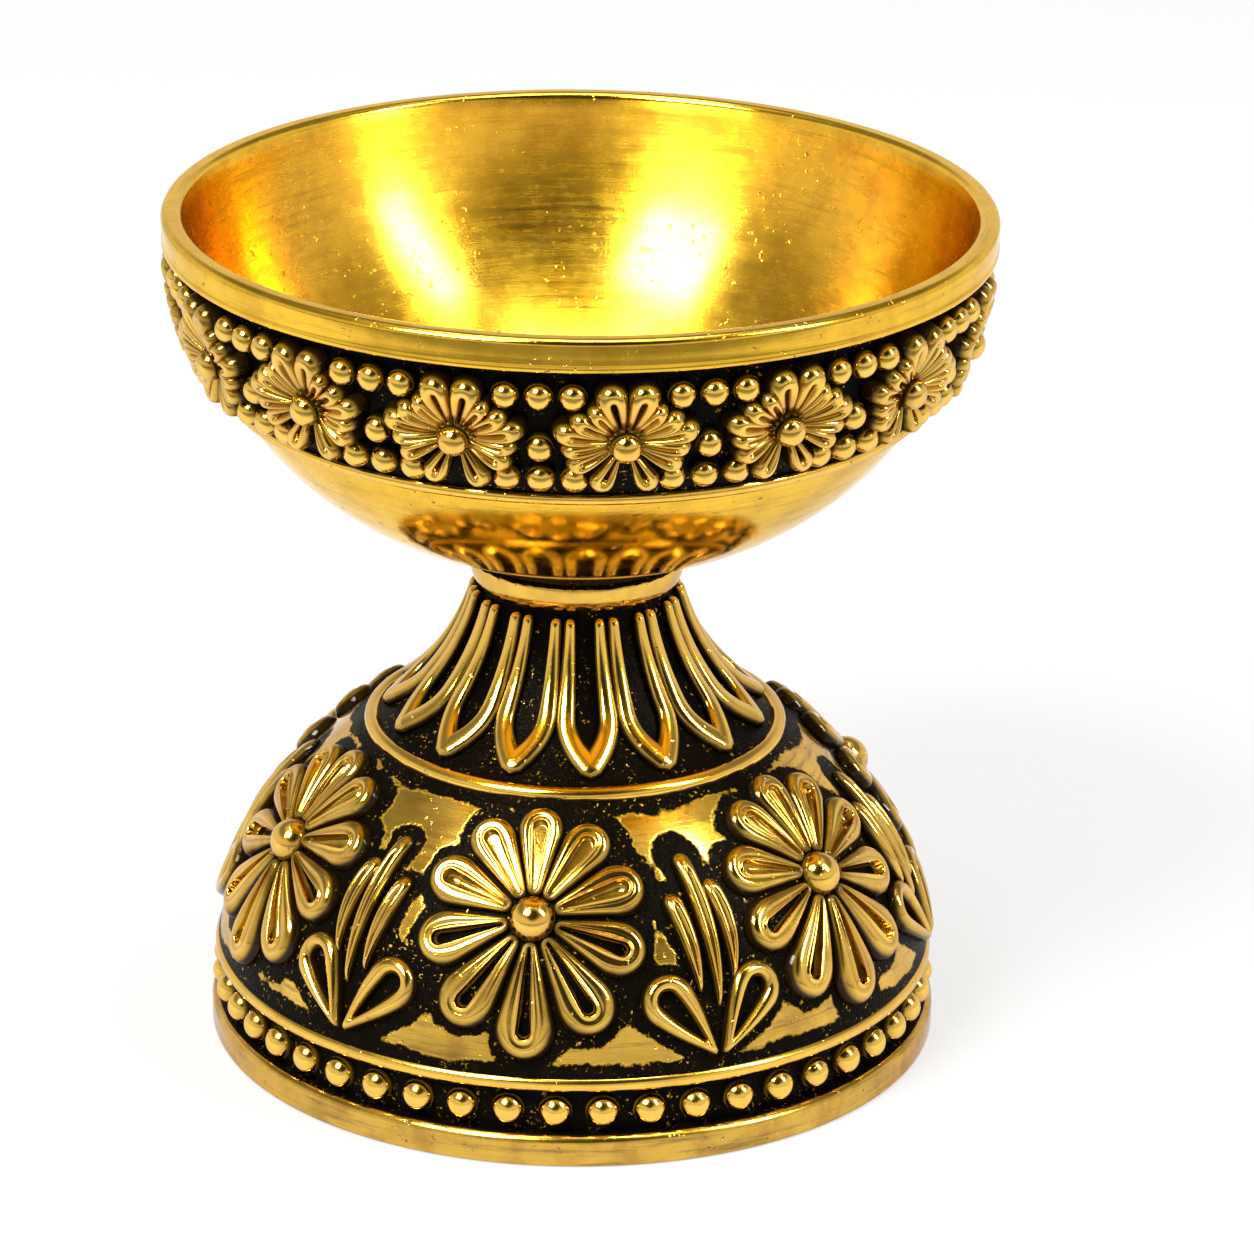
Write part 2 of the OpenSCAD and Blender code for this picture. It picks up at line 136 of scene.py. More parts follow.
def blend_color(tree, factor, first, second):
    """A mix of two colours."""
    mixed = node(tree, "Mix", {0: factor, 6: first, 7: second}, data_type="RGBA")
    return mixed.outputs[2]


def ramp(tree, value, low, high, to_low=0.0, to_high=1.0):
    """A soft step from one value to another."""
    inputs = {"Value": value, "From Min": low, "From Max": high, "To Min": to_low, "To Max": to_high}
    return node(tree, "MapRange", inputs, interpolation_type="SMOOTHSTEP").outputs[0]


def noise(tree, vector, scale, detail=3.0, rough=0.5):
    """A noise value from 0 to 1."""
    inputs = {"Vector": vector, "Scale": scale, "Detail": detail, "Roughness": rough}
    return node(tree, "TexNoise", inputs).outputs[0]


def shader_group(name, takes, gives):
    """An empty node group with named inputs and outputs."""
    group = bpy.data.node_groups.new(name, "ShaderNodeTree")
    for label, kind in takes:
        group.interface.new_socket(label, in_out="INPUT", socket_type="NodeSocket" + kind)
    for label, kind in gives:
        group.interface.new_socket(label, in_out="OUTPUT", socket_type="NodeSocket" + kind)
    return group, group.nodes.new("NodeGroupInput"), group.nodes.new("NodeGroupOutput")


# Black antique stain: it stays where the surface is hollow and is rubbed off where it stands proud.
# The scales of all noises are per metre.
FLECK_SCALE, RUB_SCALE = 4200, 600
stain, taken, given = shader_group(
    "black_stain",
    [("Vector", "Vector"), ("Hollow", "Float"), ("Ragged", "Float"), ("Grain", "Float")],
    [("Mask", "Float")])
broad = noise(stain, taken.outputs["Vector"], taken.outputs["Grain"], 7.0, 0.68)
shift = calc(stain, "MULTIPLY", calc(stain, "SUBTRACT", broad, 0.5), taken.outputs["Ragged"])
laid = ramp(stain, calc(stain, "ADD", taken.outputs["Hollow"], shift), 0.42, 0.58)
flecks = ramp(stain, noise(stain, taken.outputs["Vector"], FLECK_SCALE, 2.0, 0.6), 0.62, 0.72)
rubbed = ramp(stain, noise(stain, taken.outputs["Vector"], RUB_SCALE, 2.0, 0.5), 0.46, 0.64)
flecks = calc(stain, "MULTIPLY", calc(stain, "MULTIPLY", flecks, rubbed), 0.8)
stain.links.new(calc(stain, "MULTIPLY", laid, calc(stain, "SUBTRACT", 1.0, flecks)), given.inputs["Mask"])

# Hand-polished brass: its tone wanders, small pits hold dirt, and the stain lies over it.
# A brown film, partly tarnish and partly painted shade, browns the edges of each form and, where it is
# thick, is black painted shade that hides the metal; a thin clear lacquer gives the white glints.
GOLD = (0.94, 0.565, 0.03, 1)
DEEP_GOLD = (0.6, 0.28, 0.008, 1)
PIT_BROWN = (0.07, 0.032, 0.006, 1)
STAIN_BLACK = (0.0025, 0.0018, 0.001, 1)
STAIN_BROWN = (0.006, 0.0034, 0.001, 1)
# Brown for tarnish and painted shade, and black for grime and painted shade where the brown is thick
TARNISH_AND_SHADE_BROWN = (0.07, 0.027, 0.002, 1)
GRIME_AND_SHADE_BLACK = (0.012, 0.0055, 0.0008, 1)
EDGE_TINT = (0.68, 0.5, 0.28, 1)
CLEAR_EDGE = (0.95, 0.85, 0.6, 1)
LACQUER_IOR, STAIN_SHEEN = 1.75, 0.02
CLOUD_SCALE, PITTED_SCALE, PIT_SCALE = 420, 300, 2600
THIN_SCALE, DULL_SCALE, GRIT_SCALE = 1500, 900, 5200
polish, taken, given = shader_group(
    "polished_brass",
    [("Vector", "Vector"), ("Stain", "Float"), ("Tarnish and shade", "Float"), ("Shine", "Float"),
     ("Mottle", "Float"), ("Pits", "Float"), ("Gloss", "Float")],
    [("Color", "Color"), ("Roughness", "Float"), ("Metallic", "Float"), ("Lacquer", "Float"),
     ("Height", "Float")])
place = taken.outputs["Vector"]
cloud = ramp(polish, noise(polish, place, CLOUD_SCALE, 4.0, 0.6), 0.35, 0.75)
tone = blend_color(polish, calc(polish, "MULTIPLY", cloud, taken.outputs["Mottle"]), GOLD, DEEP_GOLD)
# Tarnish and painted shade: a brown film where the piece marks it, turning black from 0.6 upwards
film_and_shade = calc(polish, "MULTIPLY", taken.outputs["Tarnish and shade"], ramp(polish, cloud, 0.0, 1.0, 0.7, 1.0))
tone = blend_color(polish, film_and_shade, tone, TARNISH_AND_SHADE_BROWN)
grime_and_shade = ramp(polish, taken.outputs["Tarnish and shade"], 0.6, 0.95)
tone = blend_color(polish, grime_and_shade, tone, GRIME_AND_SHADE_BLACK)
pit = ramp(polish, noise(polish, place, PIT_SCALE, 2.0, 0.5), 0.66, 0.74)
where_pitted = ramp(polish, noise(polish, place, PITTED_SCALE, 2.0, 0.5), 0.45, 0.62)
pits = calc(polish, "MULTIPLY", calc(polish, "MULTIPLY", pit, where_pitted), taken.outputs["Pits"])
tone = blend_color(polish, pits, tone, PIT_BROWN)
stained = taken.outputs["Stain"]
thin = ramp(polish, noise(polish, place, THIN_SCALE, 4.0, 0.65), 0.5, 0.75)
tone = blend_color(polish, stained, tone, blend_color(polish, thin, STAIN_BLACK, STAIN_BROWN))
dull = calc(polish, "SUBTRACT", noise(polish, place, DULL_SCALE, 3.0, 0.6), 0.45)
rough = calc(polish, "ADD", taken.outputs["Shine"], calc(polish, "MULTIPLY", dull, 0.14))
rough = calc(polish, "ADD", rough, calc(polish, "MULTIPLY", pits, 0.3))
rough = calc(polish, "ADD", rough, calc(polish, "MULTIPLY", stained, 0.15))
grit = noise(polish, place, GRIT_SCALE, 2.0, 0.6)
grit = calc(polish, "MULTIPLY", grit, calc(polish, "ADD", stained, 0.06))
polish.links.new(tone, given.inputs["Color"])
polish.links.new(rough, given.inputs["Roughness"])
# Where stain or black painted shade covers it, the surface is not metal
covered = calc(polish, "MAXIMUM", stained, grime_and_shade)
polish.links.new(calc(polish, "SUBTRACT", 1.0, covered), given.inputs["Metallic"])
bare = calc(polish, "SUBTRACT", 1.0, stained)
clean = calc(polish, "MULTIPLY", bare, calc(polish, "SUBTRACT", 1.0, film_and_shade))
polish.links.new(ramp(polish, clean, 0.0, 1.0, 0.01, taken.outputs["Gloss"]), given.inputs["Lacquer"])
sunk = calc(polish, "ADD", calc(polish, "MULTIPLY", pits, 0.8), calc(polish, "MULTIPLY", stained, 0.7))
polish.links.new(calc(polish, "SUBTRACT", grit, sunk), given.inputs["Height"])

# Fine lines left by turning and by the polishing wheel, round the axis
ROUND_SCALE, FINE_LINES, WIDE_STREAKS = 140, 7, 2.4
lines, taken, given = shader_group(
    "turning_lines", [("Vector", "Vector"), ("Run", "Float")], [("Height", "Float"), ("Streak", "Float")])
apart = node(lines, "SeparateXYZ", {0: taken.outputs["Vector"]})
slow_x = calc(lines, "MULTIPLY", apart.outputs[0], ROUND_SCALE)
slow_y = calc(lines, "MULTIPLY", apart.outputs[1], ROUND_SCALE)
run = taken.outputs["Run"]
fine = node(lines, "CombineXYZ", {0: slow_x, 1: slow_y, 2: calc(lines, "MULTIPLY", run, FINE_LINES)})
wide = node(lines, "CombineXYZ", {0: slow_x, 1: slow_y, 2: calc(lines, "MULTIPLY", run, WIDE_STREAKS)})
lines.links.new(noise(lines, fine.outputs[0], 1.0, 3.0, 0.65), given.inputs["Height"])
lines.links.new(noise(lines, wide.outputs[0], 1.0, 4.0, 0.7), given.inputs["Streak"])


def brass(name, shine, mottle=0.5, pits=0.5, ragged=0.5, grain=900.0, brush=0.0, streaks=0.4,
          anisotropy=0.0, gloss=0.8, edge=EDGE_TINT):
    """A brass finish: shine is the roughness, brush the depth of turning lines in micrometres.

    Gloss is the weight of the clear lacquer on clean metal, and edge the tint of metal seen aslant.
    """
    material = bpy.data.materials.new(name)
    material.use_nodes = True
    tree = material.node_tree
    surface = tree.nodes["Principled BSDF"]
    place = node(tree, "TexCoord").outputs["Object"]
    hollow = node(tree, "Attribute", attribute_name="hollow").outputs["Fac"]
    stained = node(tree, "Group", node_tree=stain)
    skin = node(tree, "Group", node_tree=polish)
    tree.links.new(place, stained.inputs["Vector"])
    tree.links.new(hollow, stained.inputs["Hollow"])
    stained.inputs["Ragged"].default_value = ragged
    stained.inputs["Grain"].default_value = grain
    tree.links.new(place, skin.inputs["Vector"])
    tree.links.new(stained.outputs["Mask"], skin.inputs["Stain"])
    # Each piece's tarnish and painted shade, one number for each point
    tarnish_and_shade = node(tree, "Attribute", attribute_name="tarnish_and_shade").outputs["Fac"]
    tree.links.new(tarnish_and_shade, skin.inputs["Tarnish and shade"])
    skin.inputs["Shine"].default_value = shine
    skin.inputs["Mottle"].default_value = mottle
    skin.inputs["Pits"].default_value = pits
    skin.inputs["Gloss"].default_value = gloss
    tree.links.new(skin.outputs["Color"], surface.inputs["Base Color"])
    tree.links.new(skin.outputs["Roughness"], surface.inputs["Roughness"])
    tree.links.new(skin.outputs["Lacquer"], surface.inputs["Coat Weight"])
    tree.links.new(skin.outputs["Metallic"], surface.inputs["Metallic"])
    surface.inputs["Specular IOR Level"].default_value = STAIN_SHEEN
    surface.inputs["Specular Tint"].default_value = edge
    surface.inputs["Coat Roughness"].default_value = shine * 0.6
    surface.inputs["Coat IOR"].default_value = LACQUER_IOR
    surface.inputs["Anisotropic"].default_value = anisotropy
    surface.inputs["Anisotropic Rotation"].default_value = 0.25
    if anisotropy:
        around = node(tree, "Tangent", direction_type="RADIAL", axis="Z")
        tree.links.new(around.outputs[0], surface.inputs["Tangent"])
    bump = node(tree, "Bump", {"Height": skin.outputs["Height"], "Distance": 0.00006, "Strength": 1.0})
    if brush:
        run = node(tree, "Attribute", attribute_name="run").outputs["Fac"]
        brushed = node(tree, "Group", {"Vector": place, "Run": run}, node_tree=lines)
        inputs = {"Height": brushed.outputs["Height"], "Distance": brush * 1e-6, "Normal": bump.outputs[0]}
        bump = node(tree, "Bump", inputs)
        streak = calc(tree, "MULTIPLY", calc(tree, "SUBTRACT", brushed.outputs["Streak"], 0.5), 0.3)
        tree.links.new(calc(tree, "ADD", skin.outputs["Roughness"], streak), surface.inputs["Roughness"])
        bare = calc(tree, "SUBTRACT", 1.0, stained.outputs["Mask"])
        worn = calc(tree, "MULTIPLY", ramp(tree, brushed.outputs["Streak"], 0.48, 0.72), streaks)
        worn = calc(tree, "MULTIPLY", worn, bare)
        tone = blend_color(tree, worn, skin.outputs["Color"], TARNISH_AND_SHADE_BROWN)
        tree.links.new(tone, surface.inputs["Base Color"])
    tree.links.new(bump.outputs[0], surface.inputs["Normal"])
    tree.links.new(bump.outputs[0], surface.inputs["Coat Normal"])
    return material


def finish_piece(piece, material, slot, *nodes):
    """Gives a finished piece its material and its place in the frame."""
    piece.data.materials.clear()
    piece.data.materials.append(material)
    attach(piece, "root")
    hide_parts(*nodes)


def neck_at(z):
    """Radius of the neck at a height."""
    return NECK_ARC_X - np.sqrt(NECK_ARC_R ** 2 - (NECK_ARC_Z - z) ** 2)


dome_low = np.degrees(asin((DOME_FOOT_Z - DOME_Z) / DOME_R))
dome_high = np.degrees(asin((SHOULDER_Z - DOME_Z) / DOME_R))
neck_low = np.degrees(asin((SHOULDER_Z - NECK_ARC_Z) / NECK_ARC_R))
neck_high = np.degrees(asin((PEDESTAL_H - NECK_ARC_Z) / NECK_ARC_R))
hollow_r = DOME_R - DOME_WALL
hollow_low = np.degrees(asin(-DOME_Z / hollow_r))
hollow_high = np.degrees(asin((HOLLOW_TOP - DOME_Z) / hollow_r))
inside = arc(0, DOME_Z, hollow_r, hollow_high, hollow_low, 40)
foot_band = (arc(FOOT_R - FOOT_EDGE, FOOT_EDGE, FOOT_EDGE, -90, 0, 6)
             + arc(FOOT_R - FOOT_TOP_EDGE, FOOT_H - FOOT_TOP_EDGE, FOOT_TOP_EDGE, 0, 90, 9))
channel = [(CHANNEL_R, FOOT_H), (CHANNEL_R, (FOOT_H + CHANNEL_Z) / 2), (CHANNEL_R, CHANNEL_Z)]
ledge = [(WIRE_SEAT_R, CHANNEL_Z), (WIRE_SEAT_R, DOME_FOOT_Z)]
dome_wall = arc(0, DOME_Z, DOME_R, dome_low, dome_high, 96)
neck_wall = arc(NECK_ARC_X, NECK_ARC_Z, NECK_ARC_R, 180 - neck_low, 180 - neck_high, 48)
socket = [(SOCKET_R, PEDESTAL_H), (SOCKET_R, SOCKET_Z), (0, SOCKET_Z)]
under_socket = [(0, HOLLOW_TOP), (inside[0][0] * 0.5, HOLLOW_TOP)]
pedestal = turned("domed_foot", under_socket + inside + foot_band + channel + ledge + dome_wall
                  + neck_wall + socket, TURN_STEPS)
pedestal_brass = brass("pedestal_brass", shine=0.18, mottle=0.6, pits=1.0, ragged=1.1, grain=520, brush=9.0,
                       streaks=0.65)
finish_piece(pedestal, pedestal_brass, "pedestal_brass", "pedestal")

# The neck petals: fifteen lancet loops of half-round brass wire, bent over a form and soldered
# to the neck with their points towards the dome and their filed ends just below the collar.
NECK_PETALS, NECK_PETAL_TURN = 15, 4.7
PETAL_TIP_Z, PETAL_TOP_Z = 20.12, PEDESTAL_H - 0.75
PETAL_WIDE, PETAL_TOP = radians(8.6), radians(8.5)
NECK_LEG_W, NECK_TIP_W, NECK_WIRE_UP = 0.66, 1.65, 0.62
NECK_END, NECK_STEPS = 0.96, 112


def grid_piece(name, across, along, rule):
    """Moves a flat grid's points by a rule, rolls it up where its sides meet, and closes its ends.

    The rule gives x, y, z and the painted shade of each point.
    """
    deselect()
    bpy.ops.mesh.primitive_grid_add(x_subdivisions=across, y_subdivisions=along, size=2)
    piece = bpy.context.object
    piece.name = name
    flat = points_of(piece)
    rows = rule((flat[:, 0] + 1) / 2, (flat[:, 1] + 1) / 2)
    move_points(piece, rows[:, :3])
    note(piece, "tarnish_and_shade", rows[:, 3])
    bpy.ops.object.mode_set(mode="EDIT")
    bpy.ops.mesh.select_all(action="SELECT")
    bpy.ops.mesh.remove_doubles(threshold=1e-4)
    bpy.ops.mesh.fill_holes(sides=0)
    bpy.ops.mesh.select_all(action="SELECT")
    bpy.ops.mesh.normals_make_consistent(inside=False)
    bpy.ops.object.mode_set(mode="OBJECT")
    bpy.ops.object.shade_smooth()
    return piece


def wire(name, line, half_width, rise, steps, sides=16):
    """A half-round wire on the bench, in millimetres, along a line of x and y over a share from 0 to 1."""
    sunk = 0.12

    def rule(share, along):
        step = 1e-3
        x, y = line(along)
        x_to, y_to = line(np.minimum(along + step, 1))
        x_from, y_from = line(np.maximum(along - step, 0))
        dx, dy = x_to - x_from, y_to - y_from
        length = np.hypot(dx, dy)
        turn = share * tau
        flat = np.sign(np.cos(turn)) * np.abs(np.cos(turn)) ** 0.7
        side = half_width(along) * flat
        high = np.sign(np.sin(turn)) * np.abs(np.sin(turn)) ** 0.7
        up = np.where(high > 0, rise(along), sunk) * high
        # Painted shade: the wire's flanks darken towards its sides and are black at the very edge
        edge = np.clip((np.abs(flat) - 0.5) / 0.48, 0, 1)
        return np.column_stack([x + dy / length * side, y - dx / length * side, up, edge])

    return grid_piece(name, sides, steps, rule)


def copy_of(piece, name):
    """A copy of a piece with a mesh of its own."""
    made = piece.copy()
    made.data = piece.data.copy()
    made.name = made.data.name = name
    bpy.context.collection.objects.link(made)
    return made


def joined(name, pieces):
    """Several pieces made into one."""
    deselect()
    for piece in pieces:
        piece.select_set(True)
    bpy.context.view_layer.objects.active = pieces[0]
    bpy.ops.object.join()
    pieces[0].name = pieces[0].data.name = name
    return pieces[0]


def press(piece, place, low=0.0, high=0.12):
    """Presses a piece from the bench onto its place. Points under the low level keep the stain."""
    points = points_of(piece)
    note(piece, "hollow", np.clip((high - points[:, 2]) / (high - low), 0, 1))
    move_points(piece, place(*points.T) * MM)


def turn_round(points, degrees):
    """Points turned round the axis, from the front towards the right."""
    a = radians(degrees)
    x, y, z = points.T
    return np.column_stack([x * cos(a) - y * sin(a), x * sin(a) + y * cos(a), z])


def on_neck(turn):
    """The neck's surface at an angle from the front: x round it, y up it from the petals' tips."""
    start = asin((NECK_ARC_Z - PETAL_TIP_Z) / NECK_ARC_R)

    def place(x, y, h):
        down = start - y / NECK_ARC_R
        r = NECK_ARC_X - (NECK_ARC_R - h) * np.cos(down)
        z = NECK_ARC_Z - (NECK_ARC_R - h) * np.sin(down)
        angle = x / r
        return turn_round(np.column_stack([r * np.sin(angle), -r * np.cos(angle), z]), turn)

    return place


def neck_petal_line(share):
    """Middle line of a lancet: an ogive tip in the middle of the wire, and two straight legs."""
    bend = 0.3
    side = 2 * share - 1
    q = np.abs(side) ** 1.7
    tip = PETAL_WIDE * (1 - (1 - np.minimum(q / bend, 1)) ** 2)
    legs = (PETAL_TOP - PETAL_WIDE) * np.maximum(q - bend, 0) / (1 - bend)
    z = PETAL_TIP_Z + (PETAL_TOP_Z - PETAL_TIP_Z) * q
    down = np.arcsin((NECK_ARC_Z - z) / NECK_ARC_R)
    start = asin((NECK_ARC_Z - PETAL_TIP_Z) / NECK_ARC_R)
    return np.sign(side) * (tip + legs) * neck_at(z), (start - down) * NECK_ARC_R


def round_end(share):
    """Falls to nothing at the wire's two ends, which are filed round."""
    past = np.clip((np.abs(2 * share - 1) - NECK_END) / (1 - NECK_END), 0, 1)
    return np.sqrt(1 - past ** 2)


def neck_wire_half(share):
    """Half width of the wire, which is hammered wider towards the point."""
    return (NECK_TIP_W + (NECK_LEG_W - NECK_TIP_W) * np.abs(2 * share - 1)) / 2 * round_end(share)


def neck_wire_rise(share):
    """Height of the wire above the neck."""
    return NECK_WIRE_UP * round_end(share)


bench = wire("neck_petal", neck_petal_line, neck_wire_half, neck_wire_rise, NECK_STEPS)
neck_brass = brass("neck_petal_brass", shine=0.13, mottle=0.25, pits=0.4, ragged=0.35, gloss=1.0)
neck_petals = []
for number in range(NECK_PETALS):
    petal = copy_of(bench, f"neck_wire_petal_{number + 1}")
    press(petal, on_neck(NECK_PETAL_TURN + number * 360 / NECK_PETALS))
    finish_piece(petal, neck_brass, "floret_brass", f"neck_petal_{number + 1}")
    neck_petals.append(petal)
bpy.data.objects.remove(bench)

# The shoulder wire: a round brass wire bent into a hoop and soldered where the neck meets the dome.
# It covers the seam between the two and is polished bright on top.
SHOULDER_WIRE_R, SHOULDER_SUNK = 0.5, 0.1
SHOULDER_CLEAN, SHOULDER_FADE = 0.42, 0.2
hoop_r = float(neck_at(SHOULDER_Z))
hoop = arc(hoop_r, SHOULDER_Z - SHOULDER_SUNK, SHOULDER_WIRE_R, -180, 180, 20)
shoulder_wire = turned("shoulder_hoop", hoop, 256)
wire_brass = brass("wire_brass", shine=0.15, mottle=0.4, pits=0.6, ragged=0.5)
below = SHOULDER_Z - SHOULDER_CLEAN - points_of(shoulder_wire)[:, 2] / MM
note(shoulder_wire, "hollow", np.clip(below / SHOULDER_FADE, 0, 1))
finish_piece(shoulder_wire, wire_brass, "wire_brass", "shoulder_wire")

# The dome flowers: six florets of ten grooved petals round a ball, pressed from brass sheet.
# Each is curved to the dome and soldered down; the petals that point down are a little longer.
DOME_FLOWERS, DOME_FLOWER_TURN, DOME_FLOWER_LAT = 6, -7.5, 35.2
PETALS = 10
DOME_REACH, DOME_DROP, DOME_CROWD = 6.75, 1.3, radians(10)
DOME_PETAL_UP, DOME_BALL_R, DOME_BALL_LIFT = 0.9, 1.32, 0.15


def leaf(name, outer, inner, section, around):
    """A raised leaf on the bench: rings from its outline in to its groove.

    The section lists, for each ring, its share of the way, its height and its painted shade.
    """
    shares, heights, shades = np.array(section).T

    def rule(turn, ring):
        place = ring * (len(shares) - 1)
        share = np.interp(place, range(len(shares)), shares)
        up = np.interp(place, range(len(heights)), heights)
        film_and_shade = np.interp(place, range(len(shades)), shades)
        x_out, y_out = outer(turn * tau)
        x_in, y_in = inner(turn * tau)
        x, y = x_out + (x_in - x_out) * share, y_out + (y_in - y_out) * share
        return np.column_stack([x, y, up, film_and_shade])

    return grid_piece(name, around, len(section) - 1, rule)


def finger(start, length, thin, half, belly=0.0):
    """Outline of a long drop: a small round foot, straight or bellied flanks and a round end."""
    foot, end = thin, length - half
    lean = asin((half - thin) / (end - foot))

    def outline(turn):
        along = length * (1 - np.cos(turn)) / 2
        wide = thin / cos(lean) + (along - foot) * tan(lean)
        foot_round = np.sqrt(np.maximum(thin ** 2 - (along - foot) ** 2, 0))
        end_round = np.sqrt(np.maximum(half ** 2 - (along - end) ** 2, 0))
        wide = np.where(along < foot - thin * sin(lean), foot_round, wide)
        wide = np.where(along > end - half * sin(lean), end_round, wide)
        wide = wide + belly * np.sin(pi * along / length)
        return np.sign(np.sin(turn)) * wide, start + along

    return outline


def ball(name, radius, up, segments=40, rings=28):
    """A small soldered ball on the bench, its middle at a height."""
    deselect()
    bpy.ops.mesh.primitive_uv_sphere_add(segments=segments, ring_count=rings, radius=radius,
                                         location=(0, 0, up))
    piece = bpy.context.object
    piece.name = name
    bpy.ops.object.transform_apply(location=True)
    bpy.ops.object.shade_smooth()
    # Painted shade begins below the crown and is deepest at the outline, where it turns black
    below = up + 0.78 * radius - points_of(piece)[:, 2]
    note(piece, "tarnish_and_shade", 0.92 * np.clip(below / (0.66 * radius), 0, 1))
    return piece


def shade_towards_foot(piece, share, end):
    """Painted shade that deepens from a share of a petal's length towards its foot, brown at first and
    black near the foot.
    """
    film_and_shade = np.empty(len(share))
    piece.data.attributes["tarnish_and_shade"].data.foreach_get("value", film_and_shade)
    note(piece, "tarnish_and_shade", np.maximum(film_and_shade, 0.9 * np.clip(1 - share / end, 0, 1)))


def petal_direction(number):
    """Direction of a dome petal, clockwise from up: the upper ones stand closer together."""
    a = number * tau / PETALS
    return a - DOME_CROWD * sin(a) * (1 + cos(a)) / 2


def on_dome(latitude, turn):
    """The dome's surface round a latitude: x to the right and y up along it."""
    lat = radians(latitude)

    def place(x, y, h):
        reach = np.hypot(x, y) / DOME_R
        bearing = np.arctan2(x, y)
        right = np.sin(reach) * np.sin(bearing)
        above = np.sin(reach) * np.cos(bearing)
        back = above * sin(lat) - np.cos(reach) * cos(lat)
        up = above * cos(lat) + np.cos(reach) * sin(lat)
        points = (DOME_R + h)[:, None] * np.column_stack([right, back, up])
        return turn_round(points, turn) + [0, 0, DOME_Z]

    return place


def dome_petal(number):
    """One grooved petal of a dome flower, turned to its direction."""
    direction = petal_direction(number)
    pitch = (petal_direction(number + 1) - petal_direction(number - 1)) / 2
    reach = DOME_REACH + DOME_DROP * max(0, -cos(direction)) ** 2
    start = DOME_BALL_R - 0.04
    # Its round end keeps a narrow gap to its neighbours, and the slots of the upper petals are shallow
    half = min(1.76, (reach * sin(pitch / 2) - 0.04) / (1 + sin(pitch / 2)))
    outer = finger(start, reach - start, 0.5, half)
    inner = finger(start + 0.35, reach * 0.845 - start - 0.35, 0.12, 0.43)
    up = DOME_PETAL_UP
    floor = 0.45 * max(0, cos(direction)) ** 0.7 - 0.02
    # A cushion, a furrow and a thin lip round the slot, then the slot's floor, with painted shade at the
    # edge, in the furrow and down into the slot
    section = [(0, -0.15, 1), (0, 0.1 * up, 1), (0.03, 0.26 * up, 1), (0.08, 0.42 * up, 1),
               (0.15, 0.57 * up, 0.9), (0.24, 0.71 * up, 0.74), (0.34, 0.82 * up, 0.52),
               (0.46, 0.89 * up, 0.26), (0.57, 0.91 * up, 0.08), (0.67, 0.88 * up, 0.2),
               (0.75, 0.85 * up, 0.45), (0.82, 0.87 * up, 0.2), (0.88, 0.95 * up, 0.0), (0.93, up, 0.0),
               (0.97, 0.98 * up, 0.1), (1.0, 0.87 * up, 0.45), (1.05, max(0.4, floor) * up, 0.75),
               (1.14, floor * up, 0.7)]
    piece = leaf("petal", outer, inner, section, 72)
    x, y, z = points_of(piece).T
    share = np.clip((y - start) / (reach - start), 0, 1)
    # Painted shade deepens towards the petal's foot by the ball
    shade_towards_foot(piece, share, 0.5)
    rise = 0.62 + 0.38 * share ** 0.8
    x, y = x * cos(direction) + y * sin(direction), y * cos(direction) - x * sin(direction)
    move_points(piece, np.column_stack([x, y, np.where(z > 0, z * rise, z)]))
    return piece


petals = [dome_petal(number) for number in range(PETALS)]
bench = joined("dome_flower", petals + [ball("ball", DOME_BALL_R, DOME_BALL_LIFT)])
floret_brass = brass("dome_flower_brass", shine=0.13, mottle=0.4, pits=0.5, ragged=0.4, gloss=1.0)
dome_ornaments = []
for number in range(DOME_FLOWERS):
    flower = copy_of(bench, f"dome_floret_{number + 1}")
    press(flower, on_dome(DOME_FLOWER_LAT, DOME_FLOWER_TURN + number * 360 / DOME_FLOWERS))
    finish_piece(flower, floret_brass, "floret_brass", f"dome_flower_{number + 1}")
    dome_ornaments.append(flower)
bpy.data.objects.remove(bench)

# The leaf sprigs: between the flowers, two loop leaves of bent wire and three pointed blades.
# They are cut and filed by hand, soldered to the dome, and lean towards each other in pairs.
SPRIG_TURN, SPRIG_LAT = 1.0, 13.5
LOOP_L, LOOP_HALF, LOOP_RIM, LOOP_LEAN, LOOP_APART = 5.85, 1.48, 1.0, radians(37), 0.15
LOOP_IN_START = 1.25
BLADE_L, SIDE_BLADE_L, LEAF_UP = 9.3, 6.0, 0.75


def loop_leaf(side):
    """A half-round rim between an outer and an inner drop, leaning to one side of the sprig's foot."""
    outer = finger(0, LOOP_L, 0.16, LOOP_HALF, 0.22)
    inner = finger(LOOP_IN_START, LOOP_L - LOOP_IN_START - LOOP_RIM, 0.05, LOOP_HALF - LOOP_RIM, 0.08)
    up = LEAF_UP
    # Painted shade at both edges of the rim, none on its crest
    section = [(0, -0.12, 1), (0, 0.08, 1), (0.04, 0.38 * up, 1), (0.14, 0.66 * up, 0.8),
               (0.32, 0.9 * up, 0.35), (0.52, up, 0), (0.72, 0.92 * up, 0.2), (0.88, 0.68 * up, 0.7),
               (0.97, 0.36 * up, 1), (1, 0.08, 1), (1, -0.12, 1), (0, -0.12, 1)]
    piece = leaf("loop", outer, inner, section, 64)
    across, along, z = points_of(piece).T
    move_points(piece, np.column_stack([
        side * (LOOP_APART + along * sin(LOOP_LEAN)) + across * cos(LOOP_LEAN),
        along * cos(LOOP_LEAN) - side * across * sin(LOOP_LEAN), z]))
    return piece


